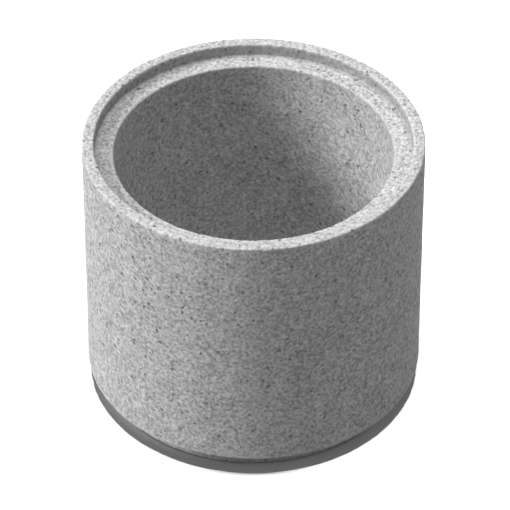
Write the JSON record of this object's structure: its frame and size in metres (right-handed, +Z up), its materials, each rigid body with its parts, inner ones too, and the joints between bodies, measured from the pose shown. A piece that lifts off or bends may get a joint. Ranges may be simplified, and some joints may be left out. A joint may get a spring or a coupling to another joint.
{
  "type": "concrete flue liner",
  "caption": "Short round concrete flue liner with a rebated socket round its top and a matching spigot at its foot, stacked to line a chimney.",
  "frame": {"origin": "centre of the foot of the spigot, on the flue's axis, where the liner stands", "axes": "+Z up the flue's axis, from the spigot to the socket; +X and +Y are free, because the liner is round"},
  "size_m": [0.276, 0.276, 0.236],
  "materials": {
    "pressed_concrete": "matt, open-textured pressed concrete, light grey with small dark pores"
  },
  "bodies": {
    "root": {"flue_liner": "pressed_concrete"}
  },
  "joints": []
}
